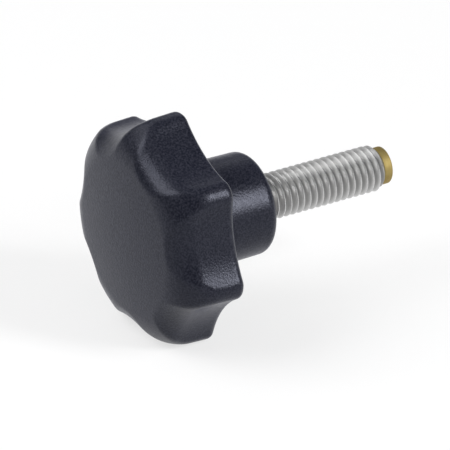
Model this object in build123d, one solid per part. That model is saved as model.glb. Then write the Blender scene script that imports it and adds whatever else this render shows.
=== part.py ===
"""Seven-lobed star knob with a moulded-in M8 stud and a pressed-in brass tip.

Each piece is drawn standing on its stud: the hub's seating face at height 0, the crown up and
the stud down. Before export it is turned onto its side, so the stud points along +Y and one
lobe points along +Z. Lengths are in millimetres and angles in degrees.
"""
import os
from math import atan2, cos, degrees, hypot, radians, sin, sqrt, tan

from build123d import *

# Head of the knob
LOBES = 7
HEAD_RADIUS = 20.0          # over the lobes, at the rear face
VALLEY_RADIUS = 17.1        # from the stud's axis to the bottom of a scallop, at the rear face
SCALLOP_RADIUS = 20.5       # radius of the hollow between two lobes
RIM_HEIGHT = 10.6           # from the rear face to where crown and lobe outline would meet
CROWN_RISE = 1.8            # height of the domed crown above that
LOBE_CORNER = 7.6           # rounding from the lobe's side over to the crown
SCALLOP_CORNER = 4.8        # rounding from the scallop's side over to the crown
SCALLOP_CORNER_END = 62.0   # how far round that corner the scallop's flare runs
LOBE_BLEND = 2.4            # fillet along both sides of every lobe
REAR_ROUND = 1.3            # fillet round the head's rear edge
DRAFT = 2.0                 # mould draft of the head's sides

# Hub under the head
HUB_LENGTH = 13.2
HUB_RADIUS = 8.75           # at the seating end
HUB_DRAFT = 1.0
HUB_END_ROUND = 1.6
HUB_ROOT_FILLET = 1.0
MOUTH_RADIUS = 4.5          # countersink round the stud, so the thread's end stands clear

# Stud, M8, with a knurled anchor inside the hub
STUD_RADIUS = 4.0
STUD_LENGTH = 24.2          # outside the hub
STUD_CHAMFER = 0.8
BLANK_RADIUS = 3.6          # plain shank inside the hub, before the thread is rolled
SHANK_IN_HUB = 2.0          # plain length between the seating face and the first collar
COLLAR_RADIUS = 4.8
COLLAR_LENGTH = 4.0
COLLAR_CHAMFER = 0.3
WAIST_LENGTH = 3.0          # between the two collars
FLUTES = 14
FLUTE_WIDTH = 0.9

# Brass tip, pressed into a blind bore in the stud's end
TIP_RADIUS = 3.2
TIP_LENGTH = 1.6
TIP_EDGE_BREAK = 0.15
PIN_RADIUS = 1.75
PIN_LENGTH = 5.5
PIN_CHAMFER = 0.3
BORE_DEPTH = 6.0
DRILL_POINT = 118.0


CROWN_TOP = RIM_HEIGHT + CROWN_RISE
CROWN_RADIUS = (HEAD_RADIUS**2 + CROWN_RISE**2) / (2 * CROWN_RISE)


def crown_height(radius):
    """Height of the domed crown above the rear face, at a distance from the axis."""
    return CROWN_TOP - CROWN_RADIUS + sqrt(CROWN_RADIUS**2 - radius**2)


def corner_centre(foot, corner):
    """Centre of the corner arc that touches the drafted side starting at foot and the crown."""
    low = 0.0
    high = CROWN_TOP
    for _ in range(50):
        height = (low + high) / 2
        radius = foot - height * tan(radians(DRAFT)) - corner / cos(radians(DRAFT))
        if hypot(radius, height - CROWN_TOP + CROWN_RADIUS) < CROWN_RADIUS - corner:
            low = height
        else:
            high = height
    return radius, height


def corner_arc(foot, corner, end):
    """Start, middle and end of the corner arc, from the drafted side up to the angle end."""
    radius, height = corner_centre(foot, corner)
    angles = (radians(DRAFT), radians((DRAFT + end) / 2), radians(end))
    return [(radius + corner * cos(a), height + corner * sin(a)) for a in angles]


def head_blank():
    """The round head before its scallops: drafted side, rounded corner and domed crown."""
    radius, height = corner_centre(HEAD_RADIUS, LOBE_CORNER)
    touch = degrees(atan2(height - CROWN_TOP + CROWN_RADIUS, radius))
    corner = corner_arc(HEAD_RADIUS, LOBE_CORNER, touch)
    halfway = corner[2][0] / 2
    with BuildPart() as blank:
        with BuildSketch(Plane.XZ):
            with BuildLine():
                Polyline((0, CROWN_TOP), (0, 0), (HEAD_RADIUS, 0), corner[0])
                ThreePointArc(*corner)
                ThreePointArc(corner[2], (halfway, crown_height(halfway)), (0, CROWN_TOP))
            make_face()
        revolve(axis=Axis.Z)
    return blank.part


def scallop_cutter():
    """One scallop, turned about its own axis: drafted side, then a flare out to the crown."""
    reach = VALLEY_RADIUS + SCALLOP_RADIUS
    flare = [(reach - r, z) for r, z in corner_arc(VALLEY_RADIUS, SCALLOP_CORNER, SCALLOP_CORNER_END)]
    over = 3.0
    above = (flare[2][0] + over, flare[2][1] + over / tan(radians(SCALLOP_CORNER_END)))
    below = (SCALLOP_RADIUS - tan(radians(DRAFT)), -1.0)
    with BuildPart() as cutter:
        with BuildSketch(Plane.XZ):
            with BuildLine():
                Polyline((0, -1.0), below, flare[0])
                ThreePointArc(*flare)
                Polyline(flare[2], above, (0, above[1]), (0, -1.0))
            make_face()
        revolve(axis=Axis.Z)
    return Pos(reach, 0, 0) * cutter.part


def is_scallop_edge(edge):
    """True for the edges a scallop leaves in the blank, away from the rear face."""
    return edge.position_at(0.5).Z > 0.1 and edge.geom_type != GeomType.CIRCLE


def head():
    """The scalloped head with its lobes blended, rear face at height 0 and one lobe along +Y."""
    pitch = 360 / LOBES
    cutter = scallop_cutter()
    star = head_blank().cut(*[Rot(0, 0, (n + 0.5) * pitch) * cutter for n in range(LOBES)])
    star = star.fillet(LOBE_BLEND, star.edges().filter_by(is_scallop_edge))
    star = star.fillet(REAR_ROUND, star.edges().group_by(Axis.Z)[0])
    return Rot(0, 0, 90) * star


def hub():
    """The round hub, from its seating face at height 0 up into the head."""
    spread = tan(radians(HUB_DRAFT))
    root = HUB_RADIUS + HUB_LENGTH * spread
    sunk = HUB_LENGTH + 2.0
    with BuildPart() as boss:
        with BuildSketch(Plane.XZ):
            Polygon((0, 0), (HUB_RADIUS, 0), (root, HUB_LENGTH), (root, sunk), (0, sunk), align=None)
        revolve(axis=Axis.Z)
        fillet(boss.edges().group_by(Axis.Z)[0], HUB_END_ROUND)
    return boss.part


def stud_blank():
    """The turned stud: thread length below the hub, plain shank and knurled collars above."""
    first = SHANK_IN_HUB
    second = first + COLLAR_LENGTH + WAIST_LENGTH
    with BuildPart() as stud:
        Cylinder(STUD_RADIUS, STUD_LENGTH, align=(Align.CENTER, Align.CENTER, Align.MAX))
        chamfer(stud.edges().group_by(Axis.Z)[0], STUD_CHAMFER)
        Cylinder(BLANK_RADIUS, second, align=(Align.CENTER, Align.CENTER, Align.MIN))
        for height in (first, second):
            add(Pos(0, 0, height) * collar())
    return stud.part


def collar():
    """One straight-knurled collar of the anchor, standing on height 0."""
    with BuildPart() as ring:
        Cylinder(COLLAR_RADIUS, COLLAR_LENGTH, align=(Align.CENTER, Align.CENTER, Align.MIN))
        chamfer(ring.edges().filter_by(GeomType.CIRCLE), COLLAR_CHAMFER)
        with Locations((0, 0, COLLAR_LENGTH / 2)):
            with PolarLocations(COLLAR_RADIUS, FLUTES):
                Box(FLUTE_WIDTH / sqrt(2), FLUTE_WIDTH / sqrt(2), COLLAR_LENGTH + 1,
                    rotation=(0, 0, 45), mode=Mode.SUBTRACT)
    return ring.part


def tip_bore():
    """The blind drilled bore in the stud's end, drill point included."""
    point = PIN_RADIUS / tan(radians(DRILL_POINT / 2))
    up = (Align.CENTER, Align.CENTER, Align.MIN)
    straight = Pos(0, 0, -STUD_LENGTH) * Cylinder(PIN_RADIUS, BORE_DEPTH, align=up)
    drill_point = Pos(0, 0, BORE_DEPTH - STUD_LENGTH) * Cone(PIN_RADIUS, 0, point, align=up)
    return straight + drill_point


def brass_tip():
    """The brass tip: a thin round head outside the stud and a pin pressed into its bore."""
    with BuildPart() as tip:
        with Locations((0, 0, -STUD_LENGTH - TIP_LENGTH)):
            Cylinder(TIP_RADIUS, TIP_LENGTH, align=(Align.CENTER, Align.CENTER, Align.MIN))
        chamfer(tip.edges().group_by(Axis.Z)[0], TIP_EDGE_BREAK)
        with Locations((0, 0, -STUD_LENGTH)):
            Cylinder(PIN_RADIUS, PIN_LENGTH, align=(Align.CENTER, Align.CENTER, Align.MIN))
        chamfer(tip.edges().group_by(Axis.Z)[-1], PIN_CHAMFER)
    return tip.part


def knob_body():
    """Head and hub as the one moulding they are, hollow where the anchor sits."""
    body = Pos(0, 0, HUB_LENGTH) * head() + hub()
    body = body.fillet(HUB_ROOT_FILLET, body.edges().filter_by(is_hub_root))
    depth = MOUTH_RADIUS - BLANK_RADIUS
    mouth = Cone(MOUTH_RADIUS, BLANK_RADIUS, depth, align=(Align.CENTER, Align.CENTER, Align.MIN))
    return body - stud_blank() - mouth


def is_hub_root(edge):
    """True for the circle where the hub runs into the head's rear face."""
    middle = edge.position_at(0.5)
    at_rear = abs(middle.Z - HUB_LENGTH) < 0.01
    return at_rear and hypot(middle.X, middle.Y) < HUB_RADIUS + 1


def export(name, shape):
    """Turn a piece onto its side and write it as parts/name.step."""
    placed = Plane.XZ.location * shape
    placed.label = name
    export_step(placed, f"parts/{name}.step")


os.makedirs("parts", exist_ok=True)
export("knob_body", knob_body())
export("threaded_stud", stud_blank() - tip_bore())
export("brass_tip", brass_tip())
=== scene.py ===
"""Looks of the star knob: moulded head and hub, rolled M8 thread and turned brass tip."""
import math

import bmesh
import bpy
import numpy as np
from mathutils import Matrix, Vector


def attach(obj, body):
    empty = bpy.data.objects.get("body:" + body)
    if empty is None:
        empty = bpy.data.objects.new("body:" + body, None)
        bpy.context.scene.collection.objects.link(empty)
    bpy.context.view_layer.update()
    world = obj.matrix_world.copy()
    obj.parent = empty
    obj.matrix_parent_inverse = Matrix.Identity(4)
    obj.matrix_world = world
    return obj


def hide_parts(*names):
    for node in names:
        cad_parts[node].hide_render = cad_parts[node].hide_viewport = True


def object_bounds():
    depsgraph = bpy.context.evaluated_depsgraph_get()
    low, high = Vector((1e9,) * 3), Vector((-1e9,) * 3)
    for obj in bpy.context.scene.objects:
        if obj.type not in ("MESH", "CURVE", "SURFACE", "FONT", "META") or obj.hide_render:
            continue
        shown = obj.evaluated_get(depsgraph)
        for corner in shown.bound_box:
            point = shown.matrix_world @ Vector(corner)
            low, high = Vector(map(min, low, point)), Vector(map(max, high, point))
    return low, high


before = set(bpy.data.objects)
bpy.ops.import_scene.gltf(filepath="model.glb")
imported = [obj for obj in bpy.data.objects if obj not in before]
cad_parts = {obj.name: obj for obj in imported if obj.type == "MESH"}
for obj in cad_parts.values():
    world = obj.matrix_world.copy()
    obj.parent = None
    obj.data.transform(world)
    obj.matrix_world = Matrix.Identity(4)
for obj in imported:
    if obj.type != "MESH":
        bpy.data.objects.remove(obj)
cad_low, cad_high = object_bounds()
MM = 0.001

# --- sizes, the same values as in the part's source, mm ---
LOBES = 7
HEAD_RADIUS, VALLEY_RADIUS, SCALLOP_RADIUS = 20.0, 17.1, 20.5
RIM_HEIGHT, CROWN_RISE = 10.6, 1.8
LOBE_CORNER, SCALLOP_CORNER, SCALLOP_CORNER_END = 7.6, 4.8, math.radians(62)
LOBE_BLEND, REAR_ROUND = 2.4, 1.3
DRAFT = math.radians(2)
HUB_LENGTH, HUB_RADIUS, HUB_DRAFT = 13.2, 8.75, math.radians(1)
HUB_END_ROUND, HUB_ROOT_FILLET = 1.6, 1.0
MOUTH_RADIUS, BLANK_RADIUS = 4.5, 3.6
STUD_RADIUS, STUD_LENGTH, SHANK_IN_HUB = 4.0, 24.2, 2.0
COLLAR_RADIUS, COLLAR_LENGTH, COLLAR_CHAMFER = 4.8, 4.0, 0.3
WAIST_LENGTH, FLUTES = 3.0, 14
TIP_RADIUS, TIP_LENGTH, TIP_EDGE = 3.2, 1.6, 0.15
PIN_RADIUS, PIN_LENGTH, PIN_CHAMFER, BORE_DEPTH = 1.75, 5.5, 0.3, 6.0
CROWN_TOP = RIM_HEIGHT + CROWN_RISE
CROWN_RADIUS = (HEAD_RADIUS**2 + CROWN_RISE**2) / (2 * CROWN_RISE)

# --- sizes that only the scene has, mm, and how finely its meshes are divided ---
PITCH, RUN_OUT = 1.25, 0.6
THREAD_DEPTH, FLANK_SLOPE = 0.6134 * PITCH, math.tan(math.radians(30))
CREST_HALF_FLAT, CREST_CLEARANCE = PITCH / 16, 0.03
CREST_ROUND, CREST_ROUND_WIDTH = 0.045, 0.07
ROOT_ROUND, ROOT_ROUND_WIDTH = 0.07, 0.08
# rows of points along one pitch, from a crest's middle, closer at the crest and in the root
THREAD_ROWS = (
    -0.075, -0.04, 0.0, 0.04, 0.075, 0.13, 0.20, 0.30, 0.41,
    0.49, 0.56, 0.625, 0.69, 0.76, 0.84, 0.95, 1.05, 1.12,
)
SEAT_RELIEF, SEAT_EDGE, SEAT_RADIUS = 0.02, 0.08, 2.9
FLUTE_DEPTH, FLUTE_SLOPE, DRILL_POINT = 0.45, 2.2, 1.05
THREAD_COLUMNS, TURNED_COLUMNS = 140, 160
HALF_LOBE_COLUMNS = 28
# rows of points down the crown and side, over the rear face, down the hub and over its end
BODY_ROWS = (118, 40, 58, 6)
SECTION_CENTRE = HUB_LENGTH + 5.0
SHARP_ANGLE, MERGE_DISTANCE, HALVINGS = math.radians(34), 0.002, 50


def bisect(inside, low, high):
    """The places between low and high where inside turns from true to false."""
    for _ in range(HALVINGS):
        middle = (low + high) / 2
        held = inside(middle)
        low, high = np.where(held, middle, low), np.where(held, high, middle)
    return (low + high) / 2


# --- the moulding's form as signed distances: negative inside, positive outside ---
def corner_centre(foot, corner):
    """Centre of the corner arc that touches the drafted side starting at foot and the crown."""

    def radius(height):
        return foot - height * math.tan(DRAFT) - corner / math.cos(DRAFT)

    def under_crown(height):
        to_crown = np.hypot(radius(height), height - CROWN_TOP + CROWN_RADIUS)
        return to_crown < CROWN_RADIUS - corner

    height = float(bisect(under_crown, 0.0, CROWN_TOP))
    return radius(height), height


LOBE_CENTRE = corner_centre(HEAD_RADIUS, LOBE_CORNER)
SCALLOP_CENTRE = corner_centre(VALLEY_RADIUS, SCALLOP_CORNER)
LOBE_CORNER_END = math.atan2(LOBE_CENTRE[1] - CROWN_TOP + CROWN_RADIUS, LOBE_CENTRE[0])


def side_distance(r, z, centre, corner, end):
    """Distance outside a drafted side that turns over a corner arc and then runs straight on.

    Also gives the outward normal's radial and upward parts.
    """
    turn = np.arctan2(z - centre[1], r - centre[0])
    lean = np.clip(turn, DRAFT, end)
    out, up = np.cos(lean), np.sin(lean)
    return (r - centre[0]) * out + (z - centre[1]) * up - corner, out, up


def round_max(a, b, radius, lean=0.0):
    """Intersection of two distance fields with a rounded edge between them.

    lean is the cosine of the angle between the two fields' normals.
    """
    u, v = a + radius, b + radius
    rest = np.maximum(1 - lean**2, 1e-9)
    both = np.sqrt(np.maximum(u * u + v * v - 2 * lean * u * v, 0) / rest) - radius
    return np.where((u > lean * v) & (v > lean * u), both, np.maximum(a, b))


def head_distance(r, phi, z):
    """Distance outside the head; z is up from its rear face and phi is 0 on a lobe."""
    side, out, up = side_distance(r, z, LOBE_CENTRE, LOBE_CORNER, LOBE_CORNER_END)
    lift = z - CROWN_TOP + CROWN_RADIUS
    far = np.hypot(r, lift)
    crown = far - CROWN_RADIUS
    on_crown = crown > side
    blank = np.where(on_crown, crown, side)
    out, up = np.where(on_crown, r / far, out), np.where(on_crown, lift / far, up)

    axis = VALLEY_RADIUS + SCALLOP_RADIUS
    half = math.pi / LOBES
    near = half - np.abs((phi + half) % (2 * half) - half)
    found = []
    for turn in (near, 2 * half - near):
        inwards = axis * np.cos(turn) - r
        away = np.hypot(inwards, axis * np.sin(turn))
        cut, cut_out, cut_up = side_distance(
            axis - away, z, SCALLOP_CENTRE, SCALLOP_CORNER, SCALLOP_CORNER_END
        )
        lean = out * cut_out * inwards / away + up * cut_up
        found.append(round_max(blank, cut, LOBE_BLEND, lean))
    return round_max(np.maximum(*found), -z, REAR_ROUND)


def body_distance(r, phi, z):
    """Distance outside head and hub; z is up from the hub's seating face."""
    hub = (r - HUB_RADIUS) * math.cos(HUB_DRAFT) - z * math.sin(HUB_DRAFT)
    hub = np.maximum(round_max(hub, -z, HUB_END_ROUND), z - HUB_LENGTH - 2)
    head = head_distance(r, phi, z - HUB_LENGTH)
    fillet = HUB_ROOT_FILLET
    join = fillet - np.hypot(np.maximum(fillet - hub, 0), np.maximum(fillet - head, 0))
    body = np.where((hub < fillet) & (head < fillet), join, np.minimum(hub, head))
    depth = MOUTH_RADIUS - BLANK_RADIUS
    return np.maximum(body, -np.maximum(z - depth, (z + r - MOUTH_RADIUS) / math.sqrt(2)))


def rear_radius(phi):
    """Radius of the head's outline just above its rounded rear edge."""
    height = REAR_ROUND * 1.01

    def inside(radius):
        return head_distance(radius, phi, height) < 0

    return float(bisect(inside, 12.0, 22.0))


def section(phi):
    """Half a section at azimuth phi: r and z from the crown's centre to the mouth's centre."""
    tilt = np.linspace(0.0, math.pi, 3001)

    def inside(reach):
        return body_distance(reach * np.sin(tilt), phi, SECTION_CENTRE + reach * np.cos(tilt)) < 0

    reach = bisect(inside, np.zeros_like(tilt), np.full_like(tilt, 30.0))
    r, z = reach * np.sin(tilt), SECTION_CENTRE + reach * np.cos(tilt)
    along = np.concatenate([[0], np.cumsum(np.hypot(np.diff(r), np.diff(z)))])
    rear = math.atan2(rear_radius(phi), HUB_LENGTH - SECTION_CENTRE)
    root_radius = HUB_RADIUS + HUB_LENGTH * math.tan(HUB_DRAFT)
    root = math.atan2(root_radius, HUB_LENGTH - SECTION_CENTRE)
    mouth = math.atan2(MOUTH_RADIUS, -SECTION_CENTRE)
    stops = [0.0, *np.interp((rear, root, mouth), tilt, along), along[-1]]
    places = [
        np.linspace(start, stop, rows, endpoint=False)
        for start, stop, rows in zip(stops, stops[1:], BODY_ROWS)
    ]
    places = np.concatenate(places + [[along[-1]]])
    return np.interp(places, along, r), np.interp(places, along, z)


# --- meshes ---
def smooth(mesh):
    """Shades a mesh smooth and leaves its sharper edges sharp."""
    mesh.shade_smooth()
    mesh.set_sharp_from_angle(angle=SHARP_ANGLE)


def mesh_object(name, points, faces):
    """An object in the scene, made of points in metres and faces."""
    mesh = bpy.data.meshes.new(name)
    mesh.from_pydata(points, [], faces)
    mesh.validate()
    smooth(mesh)
    thing = bpy.data.objects.new(name, mesh)
    bpy.context.scene.collection.objects.link(thing)
    return thing


def full_turn(columns):
    """Angles of evenly spaced columns, one turn in all."""
    return np.arange(columns) * 2 * math.pi / columns


def tube_faces(rows, columns, first=0):
    """Quads of a grid of points whose rows close on themselves."""
    faces = []
    for j in range(rows - 1):
        for i in range(columns):
            k = (i + 1) % columns
            a, b = first + j * columns, first + (j + 1) * columns
            faces.append((a + i, a + k, b + k, b + i))
    return faces


def helix_faces(rows, columns, per_turn, first):
    """Quads of a grid whose last column meets the first one a whole turn of rows further on."""
    faces = []
    for j in range(rows - 1):
        for i in range(columns):
            a, b = first + j * columns, first + (j + 1) * columns
            if i < columns - 1:
                faces.append((a + i, a + i + 1, b + i + 1, b + i))
            elif j + 1 + per_turn < rows:
                step = per_turn * columns
                faces.append((a + i, a + step, b + step, b + i))
    return faces


def capped(name, rings, columns, faces, ends):
    """A closed piece from its rings of points, the faces between them and its two end points.

    A fan of triangles closes each end. Points that fall together are merged, and every face
    is left pointing outwards.
    """
    points = np.concatenate(rings).tolist() + ends
    first_end, last_end = len(points) - 2, len(points) - 1
    last = (len(rings) - 1) * columns
    for i in range(columns):
        k = (i + 1) % columns
        faces += [(first_end, k, i), (last_end, last + i, last + k)]
    thing = mesh_object(name, points, faces)
    work = bmesh.new()
    work.from_mesh(thing.data)
    bmesh.ops.remove_doubles(work, verts=work.verts, dist=MERGE_DISTANCE * MM)
    bmesh.ops.dissolve_degenerate(work, edges=work.edges, dist=MERGE_DISTANCE / 2 * MM)
    bmesh.ops.recalc_face_normals(work, faces=work.faces)
    work.to_mesh(thing.data)
    work.free()
    smooth(thing.data)
    return thing


def make_body():
    """Head and hub as one closed skin, finer than the solid's mesh and of the same form."""
    half = math.pi / LOBES
    lines = [section(k * half / HALF_LOBE_COLUMNS) for k in range(HALF_LOBE_COLUMNS + 1)]
    columns = 2 * HALF_LOBE_COLUMNS * LOBES
    fold = np.arange(columns) % (2 * HALF_LOBE_COLUMNS)
    fold = np.minimum(fold, 2 * HALF_LOBE_COLUMNS - fold)
    r = np.array([lines[k][0] for k in fold]).T
    z = np.array([lines[k][1] for k in fold]).T
    turn = full_turn(columns) + math.pi / 2
    # the build axes have the crown up; the shared frame has it towards -Y
    rings = np.stack([r * np.cos(turn), -z, r * np.sin(turn)], -1)[1:-1] * MM
    ends = [(0.0, -height * MM, 0.0) for height in (z[0, 0], z[-1, 0])]
    return capped("knob_moulding", rings, columns, tube_faces(len(rings), columns), ends)


def thread_radius(s):
    """The rolled thread's radius at a place s along the axis from a crest's middle."""
    away = np.abs((s + PITCH / 2) % PITCH - PITCH / 2) - CREST_HALF_FLAT
    drop = np.clip(away / FLANK_SLOPE, 0, THREAD_DEPTH)
    crest = CREST_ROUND * np.exp(-((away / CREST_ROUND_WIDTH) ** 2))
    root = ROOT_ROUND * np.exp(-(((away - THREAD_DEPTH * FLANK_SLOPE) / ROOT_ROUND_WIDTH) ** 2))
    return STUD_RADIUS - CREST_CLEARANCE - drop - crest + root


def ring(radius, y, turn):
    """Points round the stud's axis at y towards the tip; turn runs right-handed about +Y."""
    x, z = radius * np.sin(turn), radius * np.cos(turn)
    return np.stack([x, np.zeros_like(turn) + y, z], -1) * MM


def make_stud():
    """The stud with its rolled right-hand thread; inside the hub, its shank and fluted collars."""
    turn = full_turn(THREAD_COLUMNS)
    rise = PITCH * turn / (2 * math.pi)
    thread = []
    for crest in range(-2, int(STUD_LENGTH / PITCH) + 3):
        for s in THREAD_ROWS:
            y = np.clip(crest * PITCH + s + rise, -RUN_OUT, STUD_LENGTH)
            fade = np.clip(1 + y / RUN_OUT, 0, 1)
            r = BLANK_RADIUS + (thread_radius(y - rise) - BLANK_RADIUS) * fade
            thread.append(ring(np.minimum(r, TIP_RADIUS + STUD_LENGTH - y), y, turn))

    flute = np.abs((turn * FLUTES / (2 * math.pi)) % 1 - 0.5) * 2
    fluted = COLLAR_RADIUS - FLUTE_DEPTH * np.clip(1 - flute * FLUTE_SLOPE, 0, 1)
    chamfer = COLLAR_CHAMFER
    shank = []
    for top in (-SHANK_IN_HUB, -SHANK_IN_HUB - COLLAR_LENGTH - WAIST_LENGTH):
        bottom = top - COLLAR_LENGTH
        shank += [(BLANK_RADIUS, top), (fluted - chamfer, top), (fluted, top - chamfer)]
        shank += [(fluted, bottom + chamfer), (fluted - chamfer, bottom), (BLANK_RADIUS, bottom)]
    # the last collar's end is closed by a fan, so its step down to the shank is left out
    shank = [ring(r, y, turn) for r, y in reversed(shank[:-1])]
    bore = [ring(PIN_RADIUS, y, turn) for y in (STUD_LENGTH, STUD_LENGTH - BORE_DEPTH)]

    body = len(shank) * THREAD_COLUMNS
    tail = body + (len(thread) - 1) * THREAD_COLUMNS
    faces = tube_faces(len(shank) + 1, THREAD_COLUMNS)
    faces += helix_faces(len(thread), THREAD_COLUMNS, len(THREAD_ROWS), body)
    faces += tube_faces(len(bore) + 1, THREAD_COLUMNS, tail)
    ends = [(0.0, y * MM, 0.0) for y in (bottom, STUD_LENGTH - BORE_DEPTH - DRILL_POINT)]
    return capped("threaded_rod", shank + thread + bore, THREAD_COLUMNS, faces, ends)


def arc(centre_r, centre_y, radius, start, end, count):
    """Points of an arc in the plane of radius and y, its angles in degrees."""
    angles = np.radians(np.linspace(start, end, count))
    return [(centre_r + radius * math.cos(a), centre_y + radius * math.sin(a)) for a in angles]


def make_tip():
    """The brass tip: a turned disc with broken edges, and its pin in the stud's bore."""
    face, seat, pin_end = STUD_LENGTH + TIP_LENGTH, STUD_LENGTH, STUD_LENGTH - PIN_LENGTH
    profile = [(1.0, face), (2.0, face)]
    profile += arc(TIP_RADIUS - TIP_EDGE, face - TIP_EDGE, TIP_EDGE, 90, 0, 6)
    profile += arc(TIP_RADIUS - SEAT_EDGE, seat + SEAT_RELIEF + SEAT_EDGE, SEAT_EDGE, 0, -90, 4)
    profile += [(SEAT_RADIUS, seat), (PIN_RADIUS, seat), (PIN_RADIUS, pin_end + PIN_CHAMFER)]
    profile += [(PIN_RADIUS - PIN_CHAMFER, pin_end)]
    turn = full_turn(TURNED_COLUMNS)
    rings = [ring(r, y, turn) for r, y in profile]
    faces = tube_faces(len(rings), TURNED_COLUMNS)
    ends = [(0.0, y * MM, 0.0) for y in (face, pin_end)]
    return capped("brass_disc", rings, TURNED_COLUMNS, faces, ends)


# --- materials ---
class Nodes:
    """A short way to build a node material."""

    def __init__(self, name):
        self.material = bpy.data.materials.new(name)
        self.material.use_nodes = True
        self.tree = self.material.node_tree
        self.shader = next(n for n in self.tree.nodes if n.type == "BSDF_PRINCIPLED")
        self.place = self.add("ShaderNodeTexCoord").outputs["Object"]

    def add(self, kind, **settings):
        node = self.tree.nodes.new(kind)
        for key, value in settings.items():
            setattr(node, key, value)
        return node

    def link(self, a, b):
        self.tree.links.new(a, b)

    def drive(self, output, socket):
        """Links an output to one of the shader's sockets."""
        self.link(output, self.shader.inputs[socket])

    def fix(self, values):
        """Sets constants on the shader's own sockets."""
        for socket, value in values.items():
            self.shader.inputs[socket].default_value = value

    def noise(self, scale, detail, rough, where=None):
        """Noise from 0 to 1; scale is in cells per metre."""
        node = self.add("ShaderNodeTexNoise")
        for socket, value in (("Scale", scale), ("Detail", detail), ("Roughness", rough)):
            node.inputs[socket].default_value = value
        self.link(where or self.place, node.inputs["Vector"])
        return node.outputs["Fac"]

    def span(self, value, low, high, from_low=0.0, from_high=1.0):
        """Maps from_low to from_high of a value onto low to high, and holds it at both ends."""
        node = self.add("ShaderNodeMapRange")
        self.link(value, node.inputs["Value"])
        limits = {"From Min": from_low, "From Max": from_high, "To Min": low, "To Max": high}
        for socket, number in limits.items():
            node.inputs[socket].default_value = number
        return node.outputs["Result"]

    def blend(self, fac, a, b):
        """Mixes two colours, each a tuple or an output."""
        node = self.add("ShaderNodeMix", data_type="RGBA")
        self.link(fac, node.inputs["Factor"])
        for socket, value in (("A", a), ("B", b)):
            colour = next(i for i in node.inputs if i.name == socket and i.type == "RGBA")
            if isinstance(value, tuple):
                colour.default_value = (*value, 1.0)
            else:
                self.link(value, colour)
        return next(o for o in node.outputs if o.type == "RGBA")

    def off_axis(self):
        """Distance from the stud's axis, in metres."""
        split = self.add("ShaderNodeSeparateXYZ")
        self.link(self.place, split.inputs["Vector"])
        flat = self.add("ShaderNodeCombineXYZ")
        self.link(split.outputs["X"], flat.inputs["X"])
        self.link(split.outputs["Z"], flat.inputs["Y"])
        out = self.add("ShaderNodeVectorMath", operation="LENGTH")
        self.link(flat.outputs["Vector"], out.inputs[0])
        return out.outputs["Value"]

    def bump(self, height, strength, distance, normal=None):
        """A bumped normal, laid over another one if it is given; distance is in metres."""
        node = self.add("ShaderNodeBump")
        node.inputs["Strength"].default_value = strength
        node.inputs["Distance"].default_value = distance
        self.link(height, node.inputs["Height"])
        if normal is not None:
            self.link(normal, node.inputs["Normal"])
        return node.outputs["Normal"]


def plastic():
    """Black thermoplastic with a fine spark-eroded grain."""
    m = Nodes("grained_plastic")
    grain = m.noise(3300, 1.0, 0.5)
    ripple = m.noise(1300, 2.0, 0.5)
    speck = m.span(grain, 0, 1, 0.36, 0.66)
    m.drive(m.blend(speck, (0.005, 0.006, 0.012), (0.028, 0.029, 0.041)), "Base Color")
    m.drive(m.span(ripple, 0.28, 0.34, 0.3, 0.7), "Roughness")
    m.drive(m.bump(ripple, 0.20, 0.06 * MM, m.bump(grain, 1.0, 0.034 * MM)), "Normal")
    m.fix({"Specular IOR Level": 0.28, "Specular Tint": (0.80, 0.83, 1.0, 1.0)})
    m.fix({"Sheen Weight": 0.06, "Sheen Roughness": 0.5, "Sheen Tint": (0.45, 0.50, 1.0, 1.0)})
    return m.material


def steel():
    """Dull stainless steel with fine rolling marks; its colour is darkened into the thread's
    grooves as painted shade.
    """
    m = Nodes("rolled_steel")
    fine = m.noise(3800, 3.0, 0.6)
    # painted shade: this mask runs from 0 in the thread's roots (radius 3.25 mm) to 1 on its crests
    # (3.95 mm), and the base colour is darkened to 0.32 grey where it is low
    crest = m.span(m.off_axis(), 0, 1, 3.25 * MM, 3.95 * MM)
    spots = m.span(fine, 0, 1, 0.35, 0.65)
    steel_tone = m.blend(spots, (0.60, 0.597, 0.592), (0.70, 0.697, 0.692))
    # the plain steel colour with its random speckle on the crests, painted groove shade below them
    m.drive(m.blend(crest, (0.32, 0.319, 0.317), steel_tone), "Base Color")
    m.drive(m.span(fine, 0.38, 0.50, 0.3, 0.7), "Roughness")
    m.drive(m.bump(fine, 0.30, 0.03 * MM), "Normal")
    m.fix({"Metallic": 1.0})
    return m.material


def brass():
    """Turned brass: rings on its face and faint feed marks round its side."""
    m = Nodes("turned_brass")
    split = m.add("ShaderNodeSeparateXYZ")
    m.link(m.place, split.inputs["Vector"])
    where = m.add("ShaderNodeCombineXYZ")
    m.link(m.off_axis(), where.inputs["X"])
    m.link(split.outputs["Y"], where.inputs["Y"])
    rings = m.noise(5200, 2.0, 0.6, where.outputs["Vector"])
    stain = m.span(m.noise(500, 3.0, 0.6), 0, 1, 0.35, 0.65)
    base = m.blend(stain, (0.31, 0.24, 0.092), (0.39, 0.315, 0.13))
    marks = m.span(rings, 0, 0.5, 0.4, 0.7)
    m.drive(m.blend(marks, base, (0.42, 0.30, 0.10)), "Base Color")
    m.drive(m.span(rings, 0.60, 0.72, 0.3, 0.7), "Roughness")
    m.drive(m.bump(rings, 0.35, 0.04 * MM), "Normal")
    m.fix({"Metallic": 1.0})
    return m.material


for piece, node, slot, material in (
    (make_body(), "knob_body", "knob_plastic", plastic()),
    (make_stud(), "threaded_stud", "stud_steel", steel()),
    (make_tip(), "brass_tip", "tip_brass", brass()),
):
    piece.data.materials.append(material)
    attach(piece, "root")
    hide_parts(node)


# --- floor and light; sizes in metres ---
FLOOR_RADIUS, FLOOR_RIM = 1.8, 0.25
LAMP_DISTANCE, WATTS_PER_AREA = 0.8, math.pi**2 / 4


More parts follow.
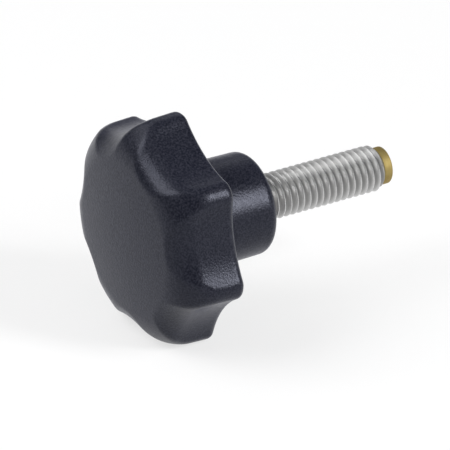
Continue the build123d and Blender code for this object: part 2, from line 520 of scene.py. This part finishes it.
def floor_material():
    """A grey floor that keeps the object's shadow and looks white round it."""
    m = Nodes("white_floor")
    m.fix({"Base Color": (0.33, 0.33, 0.33, 1.0), "Roughness": 1.0, "Specular IOR Level": 0.0})
    m.fix({"Emission Color": (1.0, 1.0, 1.0, 1.0)})
    path = m.add("ShaderNodeLightPath")
    seen = path.outputs["Is Camera Ray"]
    for ray in ("Is Glossy Ray", "Is Transmission Ray"):
        either = m.add("ShaderNodeMath", operation="MAXIMUM")
        m.link(seen, either.inputs[0])
        m.link(path.outputs[ray], either.inputs[1])
        seen = either.outputs["Value"]
    m.drive(m.span(seen, 0.0, 0.67), "Emission Strength")
    return m.material


def make_floor():
    """A wide flat floor whose rim turns up, so that level views end on it too."""
    columns = 96
    profile = [
        (FLOOR_RADIUS + FLOOR_RIM * math.sin(a), FLOOR_RIM * (1 - math.cos(a)))
        for a in np.linspace(0, math.pi / 2, 13)
    ]
    points = [
        (r * math.cos(turn), r * math.sin(turn), cad_low[2] + z)
        for r, z in profile
        for turn in full_turn(columns)
    ]
    return mesh_object("floor", points, tube_faces(len(profile), columns) + [tuple(range(columns))])


floor = make_floor()
floor.data.materials.append(floor_material())

world = bpy.data.worlds.new("studio")
bpy.context.scene.world = world
world.use_nodes = True
sky = next(n for n in world.node_tree.nodes if n.type == "BACKGROUND")
sky.inputs["Color"].default_value = (0.93, 0.95, 1.0, 1.0)
sky.inputs["Strength"].default_value = 0.12


def towards(azimuth, elevation):
    """Unit vector from the object, in degrees; azimuth 0 faces the crown, 90 is on the right."""
    turn, rise = math.radians(azimuth), math.radians(elevation)
    flat = math.cos(rise)
    return Vector((math.sin(turn) * flat, -math.cos(turn) * flat, math.sin(rise)))


def softbox(name, azimuth, elevation, width, height, brightness):
    """An area lamp that faces the object."""
    data = bpy.data.lights.new(name, "AREA")
    data.shape = "RECTANGLE"
    data.size, data.size_y = width, height
    data.energy = brightness * width * height * WATTS_PER_AREA
    lamp = bpy.data.objects.new(name, data)
    bpy.context.scene.collection.objects.link(lamp)
    way = towards(azimuth, elevation)
    lamp.location = way * LAMP_DISTANCE
    lamp.rotation_euler = way.to_track_quat("Z", "Y").to_euler()


softbox("key", 338, 46, 0.60, 0.52, 5.6)
softbox("left", 284, 42, 0.40, 0.40, 1.4)
softbox("side", 122, 31, 0.17, 0.42, 28.0)
softbox("rear", 240, 36, 0.34, 0.34, 0.8)
softbox("top", 0, 88, 0.50, 0.50, 0.7)

# --- camera: it looks from the crown's side, a little above ---
AZIMUTH, ELEVATION, DISTANCE = 58.47, 27.28, 0.95
FIELD_WIDTH, AIM_LEFT, AIM_DOWN = 74.7 * MM, 4.53 * MM, 3.95 * MM
back = towards(AZIMUTH, ELEVATION)
right = Vector((math.cos(math.radians(AZIMUTH)), math.sin(math.radians(AZIMUTH)), 0.0))
up = back.cross(right)
aim = -right * AIM_LEFT - up * AIM_DOWN
lens = bpy.data.cameras.new("camera")
camera = bpy.data.objects.new("camera", lens)
bpy.context.scene.collection.objects.link(camera)
bpy.context.scene.camera = camera
camera.location = aim + back * DISTANCE
camera.rotation_euler = back.to_track_quat("Z", "Y").to_euler()
lens.sensor_width = 36.0
lens.lens = lens.sensor_width * DISTANCE / FIELD_WIDTH
lens.clip_start, lens.clip_end = 0.05, 20.0

bpy.context.scene.view_settings.view_transform = "Standard"
